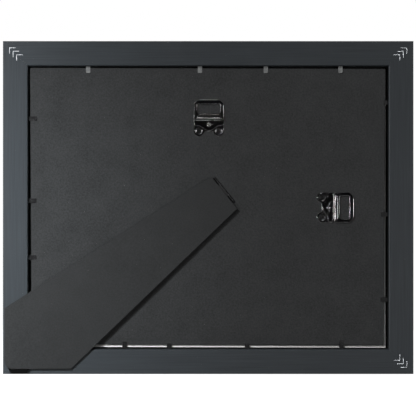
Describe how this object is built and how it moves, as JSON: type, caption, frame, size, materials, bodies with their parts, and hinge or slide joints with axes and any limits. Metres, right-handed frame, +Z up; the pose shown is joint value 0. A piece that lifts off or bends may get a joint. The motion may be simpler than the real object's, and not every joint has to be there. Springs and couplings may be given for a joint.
{
  "type": "certificate frame",
  "caption": "Mitred landscape frame with glazing, window mat and backing board, two ring hangers and a folding easel leg on its back.",
  "frame": {"origin": "middle of the bottom rail's underside, half way through its depth, where the frame stands on a table", "axes": "+X to the right as seen from the back, +Y towards the front, +Z up; the frame stands in landscape"},
  "size_m": [0.41, 0.023, 0.3325],
  "materials": {
    "moulding": "satin black lacquer over wood",
    "glazing": "clear polished",
    "mat": "matte off-white mat board",
    "certificate_paper": "blank matte paper",
    "backing": "hardboard covered in fine-grained black paper",
    "leg_board": "hardboard covered in smooth black paper",
    "black_steel": "glossy black lacquer",
    "point_steel": "semi-gloss black",
    "plain_steel": "dull darkened steel",
    "rubber": "matte black"
  },
  "bodies": {
    "frame": {"rail_top": "moulding", "rail_bottom": "moulding", "rail_left": "moulding", "rail_right": "moulding", "glazing": "glazing", "mat_board": "mat", "certificate_sheet": "certificate_paper", "backing_board": "backing", "hanger_landscape_plate": "black_steel", "hanger_landscape_eyelet_1": "black_steel", "hanger_landscape_eyelet_2": "black_steel", "hanger_landscape_rivet": "black_steel", "hanger_portrait_plate": "black_steel", "hanger_portrait_eyelet_1": "black_steel", "hanger_portrait_eyelet_2": "black_steel", "hanger_portrait_rivet": "black_steel", "hinge_backing_leaf": "black_steel", "hinge_pin": "plain_steel", "hinge_backing_tack_1": "plain_steel", "hinge_backing_tack_2": "plain_steel", "corner_nail_top_left_1": "plain_steel", "corner_nail_top_left_2": "plain_steel", "corner_nail_top_left_3": "plain_steel", "corner_nail_top_right_1": "plain_steel", "corner_nail_top_right_2": "plain_steel", "corner_nail_top_right_3": "plain_steel", "corner_nail_bottom_left_1": "plain_steel", "corner_nail_bottom_left_2": "plain_steel", "corner_nail_bottom_left_3": "plain_steel", "corner_nail_bottom_right_1": "plain_steel", "corner_nail_bottom_right_2": "plain_steel", "corner_nail_bottom_right_3": "plain_steel"},
    "leg": {"easel_leg": "leg_board", "easel_leg_bumper": "rubber", "hinge_leg_leaf": "black_steel", "hinge_leg_tack_1": "plain_steel", "hinge_leg_tack_2": "plain_steel"},
    "ring_landscape": {"hanger_landscape_ring": "black_steel"},
    "ring_portrait": {"hanger_portrait_ring": "black_steel"},
    "bent_top_1": {"point_top_1": "point_steel"},
    "bent_top_2": {"point_top_2": "point_steel"},
    "bent_top_3": {"point_top_3": "point_steel"},
    "bent_top_4": {"point_top_4": "point_steel"},
    "bent_bottom_1": {"point_bottom_1": "point_steel"},
    "bent_bottom_2": {"point_bottom_2": "point_steel"},
    "bent_bottom_3": {"point_bottom_3": "point_steel"},
    "bent_bottom_4": {"point_bottom_4": "point_steel"},
    "bent_left_1": {"point_left_1": "point_steel"},
    "bent_left_2": {"point_left_2": "point_steel"},
    "bent_left_3": {"point_left_3": "point_steel"},
    "bent_right_1": {"point_right_1": "point_steel"},
    "bent_right_2": {"point_right_2": "point_steel"},
    "bent_right_3": {"point_right_3": "point_steel"}
  },
  "joints": [
    {"name": "easel_leg_swing", "type": "hinge", "parent": "frame", "child": "leg", "pos_m": [0.0174, -0.0065, 0.18205], "axis": [-0.6293, 0, 0.7771], "range_deg": [0, 30]},
    {"name": "hanger_landscape_swing", "type": "hinge", "parent": "frame", "child": "ring_landscape", "pos_m": [0.0006, -0.00685, 0.25555], "axis": [1, 0, 0], "range_deg": [0, 165]},
    {"name": "hanger_portrait_swing", "type": "hinge", "parent": "frame", "child": "ring_portrait", "pos_m": [0.12695, -0.00685, 0.16625], "axis": [0, 0, -1], "range_deg": [0, 165]},
    {"name": "point_bottom_1_bend", "type": "hinge", "parent": "frame", "child": "bent_bottom_1", "pos_m": [-0.0836, -0.00543, 0.025], "axis": [1, 0, 0], "range_deg": [0, 80], "deforming": ["point_bottom_1"]},
    {"name": "point_bottom_2_bend", "type": "hinge", "parent": "frame", "child": "bent_bottom_2", "pos_m": [-0.0391, -0.00543, 0.025], "axis": [1, 0, 0], "range_deg": [0, 80], "deforming": ["point_bottom_2"]},
    {"name": "point_bottom_3_bend", "type": "hinge", "parent": "frame", "child": "bent_bottom_3", "pos_m": [0.0388, -0.00543, 0.025], "axis": [1, 0, 0], "range_deg": [0, 80], "deforming": ["point_bottom_3"]},
    {"name": "point_bottom_4_bend", "type": "hinge", "parent": "frame", "child": "bent_bottom_4", "pos_m": [0.1332, -0.00543, 0.025], "axis": [1, 0, 0], "range_deg": [0, 80], "deforming": ["point_bottom_4"]},
    {"name": "point_left_1_bend", "type": "hinge", "parent": "frame", "child": "bent_left_1", "pos_m": [-0.18, -0.00543, 0.25515], "axis": [0, 0, -1], "range_deg": [0, 80], "deforming": ["point_left_1"]},
    {"name": "point_left_2_bend", "type": "hinge", "parent": "frame", "child": "bent_left_2", "pos_m": [-0.18, -0.00543, 0.17305], "axis": [0, 0, -1], "range_deg": [0, 80], "deforming": ["point_left_2"]},
    {"name": "point_left_3_bend", "type": "hinge", "parent": "frame", "child": "bent_left_3", "pos_m": [-0.18, -0.00543, 0.11625], "axis": [0, 0, -1], "range_deg": [0, 80], "deforming": ["point_left_3"]},
    {"name": "point_right_1_bend", "type": "hinge", "parent": "frame", "child": "bent_right_1", "pos_m": [0.18, -0.00543, 0.27115], "axis": [0, 0, 1], "range_deg": [0, 80], "deforming": ["point_right_1"]},
    {"name": "point_right_2_bend", "type": "hinge", "parent": "frame", "child": "bent_right_2", "pos_m": [0.18, -0.00543, 0.15935], "axis": [0, 0, 1], "range_deg": [0, 80], "deforming": ["point_right_2"]},
    {"name": "point_right_3_bend", "type": "hinge", "parent": "frame", "child": "bent_right_3", "pos_m": [0.18, -0.00543, 0.07415], "axis": [0, 0, 1], "range_deg": [0, 80], "deforming": ["point_right_3"]},
    {"name": "point_top_1_bend", "type": "hinge", "parent": "frame", "child": "bent_top_1", "pos_m": [-0.12, -0.00543, 0.3075], "axis": [-1, 0, 0], "range_deg": [0, 80], "deforming": ["point_top_1"]},
    {"name": "point_top_2_bend", "type": "hinge", "parent": "frame", "child": "bent_top_2", "pos_m": [-0.0083, -0.00543, 0.3075], "axis": [-1, 0, 0], "range_deg": [0, 80], "deforming": ["point_top_2"]},
    {"name": "point_top_3_bend", "type": "hinge", "parent": "frame", "child": "bent_top_3", "pos_m": [0.0576, -0.00543, 0.3075], "axis": [-1, 0, 0], "range_deg": [0, 80], "deforming": ["point_top_3"]},
    {"name": "point_top_4_bend", "type": "hinge", "parent": "frame", "child": "bent_top_4", "pos_m": [0.1323, -0.00543, 0.3075], "axis": [-1, 0, 0], "range_deg": [0, 80], "deforming": ["point_top_4"]}
  ]
}
